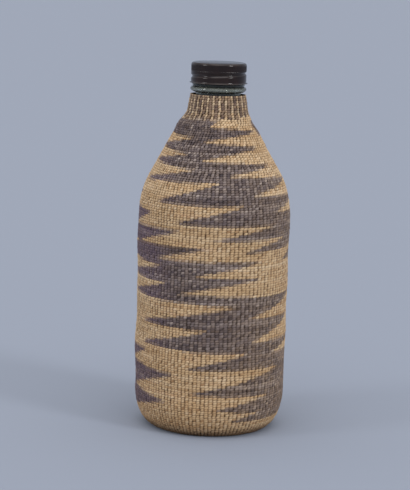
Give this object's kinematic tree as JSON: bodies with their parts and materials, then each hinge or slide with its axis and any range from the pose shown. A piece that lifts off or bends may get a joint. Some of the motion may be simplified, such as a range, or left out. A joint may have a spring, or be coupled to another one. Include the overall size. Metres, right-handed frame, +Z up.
{
  "type": "basket-covered bottle",
  "caption": "Glass screw-top bottle in a close twined basket cover with spiral bands of dark flames, a striped neck collar and a dark metal screw cap.",
  "frame": {"origin": "centre of the base, on the ground", "axes": "+Z up the axis of the bottle to the cap, -Y the side that the picture shows, +X to the right in it"},
  "size_m": [0.0806, 0.0806, 0.1927],
  "materials": {
    "glass": "clear glass with a faint green-grey cast",
    "cap_metal": "dark brown lacquered sheet metal, glossy with light wear",
    "liner_board": "plain pulpboard",
    "warp": "peeled shoots, dry",
    "pale_weft": "split root, matt to satin, straw coloured",
    "striped_weft": "split root in upright pale and dark stripes",
    "dark_weft": "dyed split root, faded purple-brown to grey-brown"
  },
  "bodies": {
    "bottle": {"glass_bottle": "glass", "warp_frame": "warp", "weft_base": "pale_weft", "weft_heel": "pale_weft", "weft_wall": "pale_weft", "weft_shoulder": "pale_weft", "weft_neck": "striped_weft", "weft_rim": "striped_weft", "dark_band_front": "dark_weft", "dark_band_back": "dark_weft"},
    "seal": {"cap_liner": "liner_board"},
    "cap": {"cap_shell": "cap_metal"}
  },
  "joints": [
    {"name": "cap_rise", "type": "slide", "parent": "bottle", "child": "seal", "axis": [0, 0, 1], "range_m": [0, 0.0127]},
    {"name": "cap_twist", "type": "hinge", "parent": "seal", "child": "cap", "pos_m": [0, 0, 0.187], "axis": [0, 0, 1], "range_deg": [0, 1080]}
  ],
  "couplings": [
    {"joint": "cap_rise", "follows": "cap_twist", "m_per_rad": 0.00067323}
  ]
}
